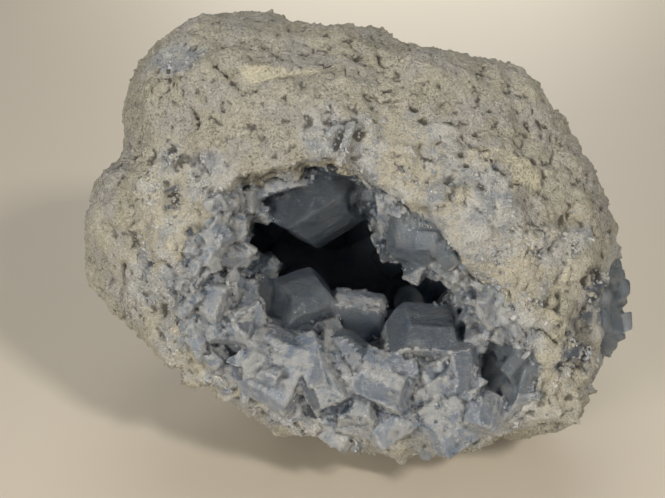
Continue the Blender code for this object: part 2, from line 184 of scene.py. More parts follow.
def on_the_face(places):
    """Places as seen square-on to the broken face: right, up and out of it, in millimetres."""
    away = places - np.array(FACE_ORIGIN)
    return np.stack([away @ np.array(axis) for axis in (FACE_RIGHT, FACE_UP, FACE_OUT)], axis=1) * 1000


def solid_tree(*nodes):
    """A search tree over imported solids, to find how far a place is from them."""
    places, faces = [], []
    for node in nodes:
        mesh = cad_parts[node].data
        first = len(places)
        places += [vertex.co.copy() for vertex in mesh.vertices]
        faces += [tuple(first + i for i in polygon.vertices) for polygon in mesh.polygons]
    return BVHTree.FromPolygons(places, faces)


celestite_tree = solid_tree("celestite_crust", "flank_celestite")


def gap_to_celestite(places):
    return np.array([celestite_tree.find_nearest(Vector(place))[3] for place in places])


def smooth_step(values, low, high):
    share = np.clip((values - low) / (high - low), 0, 1)
    return share * share * (3 - 2 * share)


def noise_at(places, size, offset=0.0):
    """Smooth noise at each place, from about -0.8 to 0.8."""
    shift = Vector((offset, offset * 0.7, -offset))
    return np.array([noise.noise(Vector(place) / size + shift) for place in places])


def lumps_at(places, size, offset):
    """Rounded lumps with narrow creases between them, about 0 on average."""
    return np.abs(noise_at(places, size, offset)) * 4 - 0.9


def warped(places, size, reach, offset):
    """Places pushed about by noise, so that shapes read from them come out ragged."""
    return places + reach * np.stack([noise_at(places, size, offset + 11 * k) for k in range(3)], axis=1)


def grains_at(places, size):
    """Flat grains, each tilted its own way: a height for every place and one tone for every grain."""
    heights, tones = np.empty(len(places)), np.empty(len(places))
    for index, place in enumerate(places):
        spot = Vector(place) / size
        centre = noise.voronoi(spot)[1][0]
        turn = noise.cell_vector(centre * 7.3)
        away = spot - centre
        heights[index] = sum(away[k] * (turn[k] - 0.5) for k in range(3)) * 2 + turn[0] - 0.5
        tones[index] = turn[1]
    return heights, tones


def in_zones(flat, zones, ragged):
    """How far inside the nearest of some oval zones each place is: 1 well inside, 0 well outside."""
    share = np.zeros(len(flat))
    for across, up, half_width, half_height in zones:
        away = np.hypot((flat[:, 0] - across) / half_width, (flat[:, 1] - up) / half_height)
        share = np.maximum(share, 1 - smooth_step(away + ragged, 0.65, 1.15))
    in_front = smooth_step(flat[:, 2], 5, 25)
    return share * in_front


def whiteness(places):
    """How much of the rock at each place is massive celestite: in the broken zones and beside the crust."""
    ragged = noise_at(places, 0.013, 5.0) * 0.45 + noise_at(places, 0.005, 9.0) * 0.25
    beside = 1 - smooth_step(gap_to_celestite(places) + ragged * 0.01, 0.004, 0.015)
    return np.maximum(in_zones(on_the_face(places), WHITE_ZONES, ragged), beside), ragged


def nearness_to_line(flat, line, width):
    """1 on a line drawn on the face, 0 further from it than its width."""
    closest = np.full(len(flat), 1e9)
    for (a, b), (c, d) in zip(line, line[1:]):
        along = ((flat[:, 0] - a) * (c - a) + (flat[:, 1] - b) * (d - b)) / ((c - a)**2 + (d - b)**2)
        along = np.clip(along, 0, 1)
        beside = flat[:, 0] - a - along * (c - a)
        above = flat[:, 1] - b - along * (d - b)
        closest = np.minimum(closest, np.hypot(beside, above))
    return (1 - smooth_step(closest, 0.25 * width, width)) * (flat[:, 2] > FRONT_ONLY)


def crystal_blank(name, taper, ridge, width, chamfer):
    """One small crystal, a metre tall, as a separate shape to copy: a block with a sloping roof."""
    bpy.ops.object.select_all(action="DESELECT")
    bpy.ops.mesh.primitive_cube_add(size=1, location=(0, 0, 0))
    blank = bpy.context.object
    blank.name = name
    bpy.ops.object.mode_set(mode="EDIT")
    bpy.ops.mesh.select_all(action="DESELECT")
    bpy.ops.object.mode_set(mode="OBJECT")
    for polygon in blank.data.polygons:
        polygon.select = polygon.normal.z > 0.5
    bpy.ops.object.mode_set(mode="EDIT")
    bpy.ops.mesh.extrude_region_move(TRANSFORM_OT_translate={"value": (0, 0, ridge)})
    bpy.ops.transform.resize(value=(taper, 0.85, 1))
    bpy.ops.mesh.select_all(action="SELECT")
    bpy.ops.transform.resize(value=(width, 1, 1))
    if chamfer:
        bpy.ops.mesh.bevel(offset=chamfer, segments=1, affect="EDGES")
    bpy.ops.object.mode_set(mode="OBJECT")
    shape = bmesh.new()
    shape.from_mesh(blank.data)
    bmesh.ops.triangulate(shape, faces=shape.faces[:])
    corners = np.array([vertex.co for vertex in shape.verts])
    corners[:, 2] -= corners[:, 2].min()
    sides = np.array([[vertex.index for vertex in side.verts] for side in shape.faces])
    shape.free()
    bpy.data.objects.remove(blank, do_unlink=True)
    return corners, sides


BLOCKS = [
    crystal_blank("blocky", 0.55, 0.35, 0.9, 0.04),
    crystal_blank("wedge", 0.12, 0.50, 0.8, 0.04),
    crystal_blank("tabular", 0.75, 0.25, 0.45, 0.03),
    crystal_blank("stout", 0.70, 0.18, 1.15, 0.05),
]

# how skewed and how uneven a crystal may be, and how much more often a small one grows
SLANT = 0.25
UNEVEN = 0.14
MOSTLY_SMALL = 1.6


def grown_crystals(name, roots, picker, blanks, sizes, lean, sunk):
    """Many crystals as one mesh. roots are pairs of a place and the way out of the surface there.

    sizes are the least and the greatest, in metres. lean is how far a crystal may tip, and sunk is the share
    of its height that is below the surface.
    """
    all_corners, all_sides, all_tones, count = [], [], [], 0
    for place, out in roots:
        corners, sides = picker.choice(blanks)
        size = sizes[0] + (sizes[1] - sizes[0]) * picker.random() ** MOSTLY_SMALL
        stretch = np.array((picker.uniform(0.7, 1.2), picker.uniform(0.7, 1.2), picker.uniform(0.8, 1.5)))
        side = Vector((picker.uniform(-1, 1), picker.uniform(-1, 1), picker.uniform(-1, 1)))
        heading = (out + side * lean).normalized()
        spin = Matrix.Rotation(picker.uniform(0, 6.28), 3, "Z")
        turned = heading.to_track_quat("Z", "Y").to_matrix() @ spin
        stretched = corners * stretch * size
        slant = (picker.uniform(-SLANT, SLANT), picker.uniform(-SLANT, SLANT))
        stretched[:, :2] += np.outer(stretched[:, 2], slant)
        uneven = np.array([[picker.uniform(-UNEVEN, UNEVEN) for _ in range(3)] for _ in range(3)])
        stretched *= 1 + stretched @ uneven / size
        stretched[:, 2] -= stretched[:, 2].max() * sunk
        all_corners.append(stretched @ np.array(turned.transposed()) + np.array(place))
        all_sides.append(sides + count)
        all_tones += [min(max(picker.gauss(0.5, 0.25), 0), 1)] * len(sides)
        count += len(corners)
    mesh = bpy.data.meshes.new(name)
    mesh.from_pydata(np.concatenate(all_corners).tolist(), [], np.concatenate(all_sides).tolist())
    piece = bpy.data.objects.new(name, mesh)
    bpy.context.scene.collection.objects.link(piece)
    set_mask(piece, "facet_tone", all_tones, "FACE")
    return piece


def scattered(piece, picker, spacing, wanted):
    """Random places on a piece's faces, about a spacing apart each way, kept where wanted says so."""
    roots = []
    mesh = piece.data
    mesh.calc_loop_triangles()
    for triangle in mesh.loop_triangles:
        expected = triangle.area / spacing**2
        number = int(expected) + (picker.random() < expected - int(expected))
        a, b, c = (mesh.vertices[i].co for i in triangle.vertices)
        for _ in range(number):
            r, s = picker.random(), picker.random()
            if r + s > 1:
                r, s = 1 - r, 1 - s
            place = a + (b - a) * r + (c - a) * s
            if wanted(place, triangle.normal, picker):
                roots.append((place, triangle.normal.copy()))
    return roots


def spaced_out(roots, spacing):
    """The roots left when none may stand closer than the spacing to one before it."""
    kept, taken = [], np.empty((0, 3))
    for place, out in roots:
        if not len(taken) or ((taken - np.array(place))**2).sum(1).min() > spacing**2:
            kept.append((place, out))
            taken = np.vstack([taken, np.array(place)])
    return kept


LIP_HEIGHT = 0.04
CRUST_CONTACT = 0.0025


def outside(place):
    """True on the nodule's own skin, false down in the hollow behind the crust."""
    return (place - FACE_ORIGIN).dot(FACE_OUT) > LIP_HEIGHT or gap_to_celestite([place])[0] > CRUST_CONTACT


def on_white_rock(place, out, picker):
    return outside(place) and picker.random() < whiteness(np.array([place]))[0][0]


rock = merged_copy("rock_matrix", "limestone_nodule")
finish_modifier(rock, "REMESH", mode="VOXEL", voxel_size=ROCK_VOXEL)
finish_modifier(rock, "SMOOTH", factor=0.6, iterations=14)
picker = random.Random(7)
grain_roots = spaced_out(scattered(rock, picker, 0.0045, on_white_rock), GRAIN_SPACING)
embedded = grown_crystals("embedded_grains", grain_roots, picker, BLOCKS, GRAIN_SIZES, lean=0.7, sunk=0.88)
fuse(rock, embedded, ROCK_SKIN_VOXEL, wear=2)
thin_out(rock, lambda centre: not outside(centre), share_kept=0.06)

# the relief of the bare rind, of the massive celestite and of the clay, in metres
places, normals = corners_of(rock)
flat = on_the_face(places)
white, ragged = whiteness(places)
clay = in_zones(flat, CLAY_ZONES, ragged * 1.5) * (1 - white)
vug = in_zones(flat, VUG_ZONES, ragged * 1.3)
ragged_places = warped(places, 0.009, 0.004, 3.0)
coarse_grains, tones = grains_at(warped(places, 0.012, 0.002, 1.0), 0.0090)
fine_grains, fine_tones = grains_at(ragged_places, 0.0042)
rough_patch = smooth_step(noise_at(places, 0.036, 18.0), -0.3, 0.3)
rind = (
    0.0045 * noise_at(places, 0.030, 2.0) + 0.0028 * noise_at(ragged_places, 0.0110, 4.0)
    + 0.0005 * lumps_at(ragged_places, 0.0058, 6.0) * rough_patch + 0.0003 * lumps_at(places, 0.0030, 8.0)
    + 0.0009 * fine_grains
)
massive = 0.0025 * noise_at(places, 0.025, 2.0) + 0.0008 * coarse_grains + 0.0006 * fine_grains
plastered = 0.0024 * noise_at(places, 0.020, 2.0) + 0.0003 * lumps_at(places, 0.0040, 8.0)
relief = rind * (1 - white) * (1 - clay) + massive * white + plastered * clay - 0.0008

# what has dropped out of it, in millimetres of depth
SEAM_DEPTH = 1.7
HOLE_DEPTH = 1.2
VUG_DEPTH = 3.0
ragged_flat = on_the_face(ragged_places) * 0.35 + flat * 0.65
cuts = np.zeros(len(places))
for crack in CRACKS:
    cuts = np.maximum(cuts, CRACK_DEPTH * nearness_to_line(ragged_flat, crack, CRACK_WIDTH))
for across, up, radius in PITS:
    away = np.hypot(ragged_flat[:, 0] - across, 1.4 * (ragged_flat[:, 1] - up)) + 1.5 * ragged
    pit_depth = (1 - smooth_step(away, 0.3 * radius, radius)) * radius * 0.9
    cuts = np.maximum(cuts, pit_depth * (flat[:, 2] > FRONT_ONLY))
# short cracks and small holes all over the crumbly rind
seams = np.abs(noise_at(ragged_places, 0.022, 12.0))
seams += 0.5 * smooth_step(noise_at(places, 0.014, 14.0), -0.45, -0.15)
cuts = np.maximum(cuts, SEAM_DEPTH * (1 - smooth_step(seams, 0.012, 0.060)) * (1 - white) * (1 - clay))
more_ragged = warped(ragged_places, 0.0045, 0.003, 31.0)
holes = np.array([noise.voronoi(Vector(place) / 0.0080)[0][0] for place in more_ragged])
crumbly = smooth_step(noise_at(places, 0.028, 16.0), 0.05, 0.35)
hole_depth = HOLE_DEPTH * (1 - smooth_step(holes, 0.06, 0.26)) * crumbly
cuts = np.maximum(cuts, hole_depth * (1 - 0.7 * white) * (1 - clay))
cuts = np.maximum(cuts, VUG_DEPTH * vug * smooth_step(noise_at(ragged_places, 0.0075, 25.0), -0.1, 0.25))

# the relief dies away at the sides of the box, against the crystals and at the foot
room = np.minimum(places - np.array(cad_box[0]), np.array(cad_box[1]) - places).min(axis=1)
relief = np.where(relief > 0, relief * np.clip(room / 0.004, 0, 1), relief) - cuts / 1000
held = 0.10 + 0.90 * smooth_step(gap_to_celestite(places), 0.0008, 0.0045)
standing = smooth_step(places[:, 2], 0.0005, 0.006)
move_corners(rock, places + normals * (relief * held * standing)[:, None])


def hollowness(piece, rounds):
    """How far each vertex lies behind its neighbours' average, a few rings out: above 0 in a hollow."""
    edges = np.empty(len(piece.data.edges) * 2, np.int32)
    piece.data.edges.foreach_get("vertices", edges)
    edges = edges.reshape(-1, 2)
    places, normals = corners_of(piece)
    averaged = places.copy()
    count = np.bincount(edges.ravel(), minlength=len(places)).astype(float)[:, None]
    for _ in range(rounds):
        total = np.zeros_like(averaged)
        np.add.at(total, edges[:, 0], averaged[edges[:, 1]])
        np.add.at(total, edges[:, 1], averaged[edges[:, 0]])
        averaged = total / count
    return ((averaged - places) * normals).sum(1)


# how far each vertex lies in a hollow, from which the finish paints shade into the crannies
set_mask(rock, "cranny", np.clip(0.5 + hollowness(rock, 5) / 0.0014, 0, 1))
set_mask(rock, "white_zone", white)
set_mask(rock, "clay_zone", clay)
set_mask(rock, "vug_zone", vug)
set_mask(rock, "grain_tone", 0.65 * tones + 0.35 * fine_tones)
only_select(rock)
bpy.ops.object.shade_smooth()

GRAIN = bpy.data.node_groups.new("mineral_grain", "ShaderNodeTree")
GRAIN.interface.new_socket("Size", in_out="INPUT", socket_type="NodeSocketFloat")
GRAIN.interface.new_socket("Contrast", in_out="INPUT", socket_type="NodeSocketFloat")
GRAIN.interface.new_socket("Mask", in_out="OUTPUT", socket_type="NodeSocketFloat")


def fill_grain_group(tree):
    """Noise on object coordinates, stretched about its middle to the contrast asked for."""
    node, link = tree.nodes.new, tree.links.new
    given = node("NodeGroupInput")
    put_out = node("NodeGroupOutput")
    where = node("ShaderNodeTexCoord")
    speckle = node("ShaderNodeTexNoise")
    speckle.inputs["Detail"].default_value = 6
    speckle.inputs["Roughness"].default_value = 0.62
    centred = node("ShaderNodeMath")
    centred.operation = "SUBTRACT"
    centred.inputs[1].default_value = 0.5
    stretched = node("ShaderNodeMath")
    stretched.operation = "MULTIPLY_ADD"
    stretched.inputs[2].default_value = 0.5
    stretched.use_clamp = True
    link(where.outputs["Object"], speckle.inputs["Vector"])
    link(given.outputs["Size"], speckle.inputs["Scale"])
    link(speckle.outputs["Fac"], centred.inputs[0])
    link(centred.outputs[0], stretched.inputs[0])
    link(given.outputs["Contrast"], stretched.inputs[1])
    link(stretched.outputs[0], put_out.inputs["Mask"])


fill_grain_group(GRAIN)


def grain(tree, size, contrast):
    """One use of the grain group in a material."""
    used = tree.nodes.new("ShaderNodeGroup")
    used.node_tree = GRAIN
    used.inputs["Size"].default_value = size
    used.inputs["Contrast"].default_value = contrast
    return used.outputs["Mask"]


def fill(tree, socket, value):
    """Puts a number, a colour or another node's output into a socket."""
    if isinstance(value, bpy.types.NodeSocket):
        tree.links.new(value, socket)
    elif isinstance(value, (int, float)):
        socket.default_value = value
    else:
        socket.default_value = (*value, 1)


def mixed(tree, share, first, second):
    """A colour mix whose sides are each a colour or another node's output."""
    mix = tree.nodes.new("ShaderNodeMix")
    mix.data_type = "RGBA"
    fill(tree, mix.inputs[0], share)
    fill(tree, mix.inputs[6], first)
    fill(tree, mix.inputs[7], second)
    return mix.outputs[2]


def ramped(tree, value, low, high, bottom=0.0, top=1.0):
    """A value taken from one range to another, and held at the ends."""
    ramp = tree.nodes.new("ShaderNodeMapRange")
    fill(tree, ramp.inputs["Value"], value)
    fill(tree, ramp.inputs["From Min"], low)
    fill(tree, ramp.inputs["From Max"], high)
    fill(tree, ramp.inputs["To Min"], bottom)
    fill(tree, ramp.inputs["To Max"], top)
    return ramp.outputs["Result"]


def worked_out(tree, kind, first, second):
    """One step of arithmetic on values or other nodes' outputs."""
    step = tree.nodes.new("ShaderNodeMath")
    step.operation = kind
    fill(tree, step.inputs[0], first)
    fill(tree, step.inputs[1], second)
    return step.outputs[0]


def added(tree, first, second):
    return worked_out(tree, "ADD", first, second)


def times(tree, first, second):
    return worked_out(tree, "MULTIPLY", first, second)


def less(tree, first, second):
    return worked_out(tree, "SUBTRACT", first, second)


def mask_of(tree, name):
    """A stored mask, to use as a value in a material."""
    attribute = tree.nodes.new("ShaderNodeAttribute")
    attribute.attribute_name = name
    return attribute.outputs["Fac"]


def bumped(tree, height, distance, strength=1.0, under=None):
    """Fine relief in a material, on top of a coarser one where that is given."""
    bump = tree.nodes.new("ShaderNodeBump")
    bump.inputs["Distance"].default_value = distance
    bump.inputs["Strength"].default_value = strength
    tree.links.new(height, bump.inputs["Height"])
    if under is not None:
        tree.links.new(under, bump.inputs["Normal"])
    return bump.outputs["Normal"]


def new_finish(name):
    """A new material, its node tree and its Principled shader."""
    finish = bpy.data.materials.new(name)
    finish.use_nodes = True
    return finish, finish.node_tree, finish.node_tree.nodes["Principled BSDF"]


limestone, tree, shader = new_finish("marly_limestone")
MARL_GREY = (0.53, 0.505, 0.44)
MARL_LAVENDER = (0.52, 0.495, 0.48)
MARL_BEIGE = (0.68, 0.62, 0.47)
MARL_OLIVE = (0.42, 0.39, 0.24)
MARL_PALE = (0.76, 0.72, 0.60)
CLAY_YELLOW = (0.86, 0.79, 0.59)
SUGARY_WHITE = (0.69, 0.68, 0.63)
MASSIVE_BLUE = (0.42, 0.44, 0.465)
# painted shade for the small vugs
VUG_PAINTED_SHADE = (0.11, 0.125, 0.15)
# painted shade for the crannies, cracks and pits
PAINTED_CRANNY_SHADE = (0.075, 0.065, 0.05)
PEPPER = (0.13, 0.12, 0.09)
body = mixed(tree, grain(tree, 24, 2.6), MARL_GREY, MARL_BEIGE)
body = mixed(tree, times(tree, grain(tree, 70, 4.0), 0.60), body, MARL_OLIVE)
body = mixed(tree, times(tree, grain(tree, 130, 5.0), 0.50), body, MARL_PALE)
body = mixed(tree, ramped(tree, grain(tree, 48, 5.0), 0.45, 0.85, 0.0, 0.75), body, MARL_LAVENDER)
body = mixed(tree, ramped(tree, grain(tree, 420, 5.0), 0.0, 1.0, 0.0, 0.45), body, MARL_GREY)
body = mixed(tree, ramped(tree, grain(tree, 620, 6.0), 0.75, 1.0, 0.0, 0.55), body, MARL_PALE)
body = mixed(tree, times(tree, mask_of(tree, "clay_zone"), 0.9), body, CLAY_YELLOW)
mottled = added(tree, grain(tree, 80, 4.0), times(tree, mask_of(tree, "grain_tone"), 0.5))
broken = mixed(tree, ramped(tree, mottled, 0.35, 0.95), MASSIVE_BLUE, SUGARY_WHITE)
broken = mixed(tree, ramped(tree, grain(tree, 38, 4.0), 0.50, 0.80, 0.0, 0.8), broken, MARL_BEIGE)
body = mixed(tree, mask_of(tree, "white_zone"), body, broken)
pepper = ramped(tree, grain(tree, 900, 5.0), 0.02, 0.34, 0.6, 0.0)
peppered = ramped(tree, grain(tree, 60, 5.0), 0.3, 0.8, 0.35, 1.0)
fewer = times(tree, peppered, ramped(tree, mask_of(tree, "white_zone"), 0, 1, 1, 0.4))
body = mixed(tree, times(tree, pepper, fewer), body, PEPPER)
# painted shade: the vugs are darkened in patches, as the shade in these small hollows
hollowed = ramped(tree, grain(tree, 120, 5.0), 0.25, 0.75, 1.0, 0.25)
body = mixed(tree, times(tree, mask_of(tree, "vug_zone"), hollowed), body, VUG_PAINTED_SHADE)
# painted shade: the deepest crannies, cracks and pits are darkened to nearly black brown
body = mixed(tree, ramped(tree, mask_of(tree, "cranny"), 0.68, 1.0, 0.0, 0.85), body, PAINTED_CRANNY_SHADE)
tree.links.new(body, shader.inputs["Base Color"])
dull = ramped(tree, grain(tree, 260, 5.0), 0, 1, 0.70, 1.0)
shiny = ramped(tree, grain(tree, 330, 6.0), 0.2, 0.8, 0.10, 0.60)
patchy = times(tree, mask_of(tree, "white_zone"), ramped(tree, grain(tree, 150, 5.0), 0.35, 0.65))
matt_share = times(tree, dull, less(tree, 1.0, patchy))
roughness = added(tree, matt_share, times(tree, shiny, patchy))
tree.links.new(roughness, shader.inputs["Roughness"])
coarse = bumped(tree, grain(tree, 280, 2.4), 0.0014)
tree.links.new(bumped(tree, grain(tree, 900, 3.0), 0.0009, 1.0, coarse), shader.inputs["Normal"])
rock.data.materials.append(limestone)
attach(rock, "root")
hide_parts("rock_matrix")


# The loose crumbs.
# Bits of the rind, 1 to 3 mm, that cling to the nodule where it weathered and broke. They are the same marl.

bpy.ops.object.select_all(action="DESELECT")
bpy.ops.mesh.primitive_ico_sphere_add(subdivisions=1, radius=0.5, location=(0, 0, 0))
crumb = bpy.context.object
bpy.ops.object.mode_set(mode="EDIT")
bpy.ops.mesh.select_all(action="SELECT")
bpy.ops.transform.resize(value=(1.0, 0.85, 0.7))
bpy.ops.object.mode_set(mode="OBJECT")
crumb_corners = np.array([vertex.co for vertex in crumb.data.vertices])
crumb_corners[:, 2] -= crumb_corners[:, 2].min()
crumb_sides = np.array([list(polygon.vertices) for polygon in crumb.data.polygons])
bpy.data.objects.remove(crumb, do_unlink=True)
CRUMB = (crumb_corners, crumb_sides)
CRUMB_SPACING = 0.0052
CRUMB_SIZES = (0.0010, 0.0034)


def where_it_crumbles(place, out, picker):
    loose = smooth_step(np.array(noise.noise(place / 0.019)), -0.25, 0.30)
    return place.z > 0.008 and outside(place) and picker.random() < 0.08 + 0.92 * float(loose)


crumb_roots = scattered(rock, picker, CRUMB_SPACING, where_it_crumbles)
crumbs = grown_crystals("rind_crumbs", crumb_roots, picker, [CRUMB], CRUMB_SIZES, lean=0.6, sunk=0.5)
set_mask(crumbs, "white_zone", whiteness(corners_of(crumbs)[0])[0])
for mask, value in (("clay_zone", 0.0), ("grain_tone", 0.5), ("cranny", 0.4)):
    set_mask(crumbs, mask, np.full(len(crumbs.data.vertices), value))
hold_in_box(crumbs)
crumbs.data.materials.append(limestone)
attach(crumbs, "root")


# The crystal crust in the hollow, and the small patch of the same crystals that a break bares on the flank.
# Blocky, pale blue celestite grown inwards from the wall. Its large crystals are glassy and let light
# through, and the ones near the mouth are cloudy, etched and sugary, with dark gaps between them. Their
# finish paints shade into the gaps and crannies and paints light onto the jutting edges.

# ovals on the face that hold the clear crystals, in millimetres, and the depth from which all are clear
CLEAR_CRYSTALS = [
    (-5, 22, 24, 24), (-14, -22, 19, 17), (42, -37, 19, 12), (78, -55, 13, 12), (14, -38, 11, 9),
    (40, 4, 17, 14),
]
CLEAR_BELOW = 22
# the crystal that hangs from the roof in the shade: its facets get low tones, so that its finish paints it
# dark as painted shade, with hardly any frost on it
SHADED_MIDDLE = (-4, 24)
SHADED_REACH = 26
CELESTITE_IOR = 1.62
DEEP_BLUE = (0.55, 0.68, 0.84)


def celestite_finish(name, dark, light, frost, frost_share, rough, through, density):
    """Celestite from glassy to cloudy: blue tints, frosty patches, painted light on jutting edges, painted
    shade in crannies, and an etched, slightly wavy skin.
    """
    finish, tree, shader = new_finish(name)
    body = mixed(tree, grain(tree, 46, 4.0), dark, light)
    tone = less(tree, mask_of(tree, "facet_tone"), 0.5)
    # painted light: jutting edges, where the hollowness mask is low, get more pale frost, as light gathers at
    # the edges of translucent crystals
    painted_edge_light = ramped(tree, mask_of(tree, "cranny"), 0.25, 0.45, 0.45, 0.0)
    frost_veils_and_edge_light = added(tree, grain(tree, 110, 5.0), added(tree, tone, painted_edge_light))
    body = mixed(tree, times(tree, ramped(tree, frost_veils_and_edge_light, 0.30, 0.95), frost_share), body, frost)
    flaws = ramped(tree, grain(tree, 330, 6.0), 0.70, 1.0, 0.0, 0.55)
    body = mixed(tree, flaws, body, frost)
    # a quarter of the dark blue: painted shade for the crannies, and the colour of facets of low tone
    deep = tuple(part * 0.25 for part in dark)
    # painted shade: down in the crannies between the crystals the colour goes dark
    body = mixed(tree, ramped(tree, mask_of(tree, "cranny"), 0.60, 0.95, 0.0, 0.85), body, deep)
    # facets of low tone are darker: some at random, and the crystal that hangs in the shade, whose darkness
    # is painted shade
    body = mixed(tree, ramped(tree, tone, -0.5, -0.25, 0.70, 0.0), body, deep)
    tree.links.new(body, shader.inputs["Base Color"])
    skin = added(tree, grain(tree, 85, 5.0), tone)
    tree.links.new(ramped(tree, skin, 0.0, 1.0, *rough), shader.inputs["Roughness"])
    shader.inputs["Transmission Weight"].default_value = through
    shader.inputs["Subsurface Weight"].default_value = 0.5
    shader.inputs["Subsurface Scale"].default_value = 0.004
    shader.inputs["Subsurface Radius"].default_value = (0.75, 0.88, 1.0)
    shader.inputs["IOR"].default_value = CELESTITE_IOR
    etched = bumped(tree, grain(tree, 210, 3.0), 0.0006, 0.6)
    tree.links.new(bumped(tree, grain(tree, 700, 3.0), 0.00035, 0.7, etched), shader.inputs["Normal"])
    absorb = tree.nodes.new("ShaderNodeVolumeAbsorption")
    absorb.inputs["Color"].default_value = (*DEEP_BLUE, 1)
    absorb.inputs["Density"].default_value = density
    tree.links.new(absorb.outputs["Volume"], tree.nodes["Material Output"].inputs["Volume"])
    return finish


cloudy = celestite_finish(
    "cloudy_celestite", dark=(0.31, 0.38, 0.48), light=(0.57, 0.62, 0.70), frost=(0.81, 0.80, 0.75),
    frost_share=0.66, rough=(0.04, 0.32), through=0.62, density=14,
)
clear = celestite_finish(
    "clear_celestite", dark=(0.42, 0.55, 0.72), light=(0.74, 0.84, 0.92), frost=(0.84, 0.86, 0.87),
    frost_share=0.62, rough=(0.01, 0.09), through=0.88, density=16,
)
sugary = celestite_finish(
    "sugary_celestite", dark=(0.40, 0.44, 0.49), light=(0.60, 0.61, 0.62), frost=(0.72, 0.70, 0.63),
    frost_share=0.60, rough=(0.10, 0.45), through=0.25, density=12,
)


def is_clear(place):
    """True on the clear crystals and everywhere deep in the hollow."""
    across, up, out = on_the_face(np.array([place]))[0]
    inside = (math.hypot((across - a) / w, (up - b) / h) < 1 for a, b, w, h in CLEAR_CRYSTALS)
    return out < CLEAR_BELOW or any(inside)


rock_tree = solid_tree("rock_matrix")
crust_tree = solid_tree("celestite_crust")


def tucked(place, out, reach):
    """How far a place is shut in by the crystals around it, from 0 in the open to 1 in a gap."""
    side = out.orthogonal().normalized()
    hits = 0
    for turn in range(6):
        look = (Matrix.Rotation(turn * math.pi / 3, 3, out) @ side + out * 0.4).normalized()
        hits += crust_tree.ray_cast(place + out * 0.0005, look, reach)[0] is not None
    return hits / 6


ROCK_CONTACT = 0.0016
LOW_EDGE = -0.068
RIM_HEIGHT = 26
SEAM_REACH = 0.0035


def on_open_side(place):
    """On the crystals' own faces, not on the back of the crust against the rock."""
    return rock_tree.find_nearest(place)[3] > ROCK_CONTACT


def on_low_edge(place):
    """At the foot of the broken face, where only plain rock shows under the crystals."""
    return (place - FACE_ORIGIN).dot(FACE_UP) < LOW_EDGE


def between_crystals(place, out, picker):
    """In the gaps between the cloudy crystals, most often where it is most shut in."""
    if out.z < -0.1 or on_low_edge(place) or is_clear(place) or not on_open_side(place):
        return False
    return picker.random() < 1.3 * tucked(place, out, 0.010) - 0.2


def at_the_seam(place, out, picker):
    """Along the crust's outer edge, where it meets the broken rock."""
    height = on_the_face(np.array([place]))[0][2]
    on_the_rim = height > RIM_HEIGHT and out.z > -0.5 and not on_low_edge(place)
    return on_the_rim and rock_tree.find_nearest(place)[3] < SEAM_REACH


def flat_faced_copy(node, name):
    """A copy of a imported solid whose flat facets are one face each."""
    piece = merged_copy(node, name)
    bpy.ops.object.mode_set(mode="EDIT")
    bpy.ops.mesh.select_all(action="SELECT")
    bpy.ops.mesh.dissolve_limited(angle_limit=math.radians(1))
    bpy.ops.object.mode_set(mode="OBJECT")
    return piece


CRUST_VOXEL = 0.00116


def grow_together(piece, others):
    """Joins crystals into one skin with flat facets. Gives its corners, and the facet that each came from."""
    only_select(piece)
    for other in others:
        other.select_set(True)
    bpy.ops.object.join()
    facets = BVHTree.FromPolygons(
        [vertex.co.copy() for vertex in piece.data.vertices],
        [tuple(polygon.vertices) for polygon in piece.data.polygons],
    )
    middles = [polygon.center.copy() for polygon in piece.data.polygons]
    finish_modifier(piece, "REMESH", mode="VOXEL", voxel_size=CRUST_VOXEL)
    finish_modifier(piece, "SMOOTH", factor=0.5, iterations=1)
    thin_out(piece, lambda centre: not on_open_side(centre), share_kept=0.10)
    places, normals = corners_of(piece)
    found = [facets.find_nearest(Vector(place)) for place in places]
    return np.array([hit[0] for hit in found]), normals, [hit[2] for hit in found], middles


def etch(piece, places, normals, strength):
    """Small flat grains and a slight wave on a crystal skin, and the hollowness mask from which its finish
    paints shade into crannies and light onto edges.
    """
    relief = 0.0006 * grains_at(places, 0.0058)[0] + 0.0005 * grains_at(places, 0.0030)[0]
    relief = relief * strength + 0.0004 * noise_at(places, 0.010, 23.0)
    move_corners(piece, places + normals * relief[:, None])
    # the hollowness mask: high in crannies, where the finish paints shade, and low on jutting edges, where it
    # paints light
    set_mask(piece, "cranny", np.clip(0.5 + hollowness(piece, 4) / 0.0016, 0, 1))
    only_select(piece)
    bpy.ops.object.shade_smooth()


BETWEEN_SPACING = 0.0110
BETWEEN_SIZES = (0.007, 0.014)
SEAM_SPACING = 0.0042
SEAM_SIZES = (0.004, 0.009)
crust = flat_faced_copy("celestite_crust", "celestite_crust_crystals")
between_roots = spaced_out(scattered(crust, picker, 0.0040, between_crystals), BETWEEN_SPACING)
between = grown_crystals(
    "between_crystals", between_roots, picker, BLOCKS, BETWEEN_SIZES, lean=0.6, sunk=0.62,
)
seam_roots = spaced_out(scattered(crust, picker, 0.0020, at_the_seam), SEAM_SPACING)
seam = grown_crystals("seam_crystals", seam_roots, picker, BLOCKS, SEAM_SIZES, lean=0.8, sunk=0.80)
places, normals, facet_of, middles = grow_together(crust, (between, seam))
flat = on_the_face(np.array(middles))
shaded = np.hypot(flat[:, 0] - SHADED_MIDDLE[0], flat[:, 1] - SHADED_MIDDLE[1]) < SHADED_REACH
# the crystal that hangs in the shade gets low facet tones, which paint it dark as painted shade and keep it
# nearly clear of frost
facet_tones = np.array([picker.random() * (0.1 if in_shade else 1) for in_shade in shaded])
facet_clear = np.array([is_clear(middle) for middle in middles])
cloudy_here = ~facet_clear[facet_of]
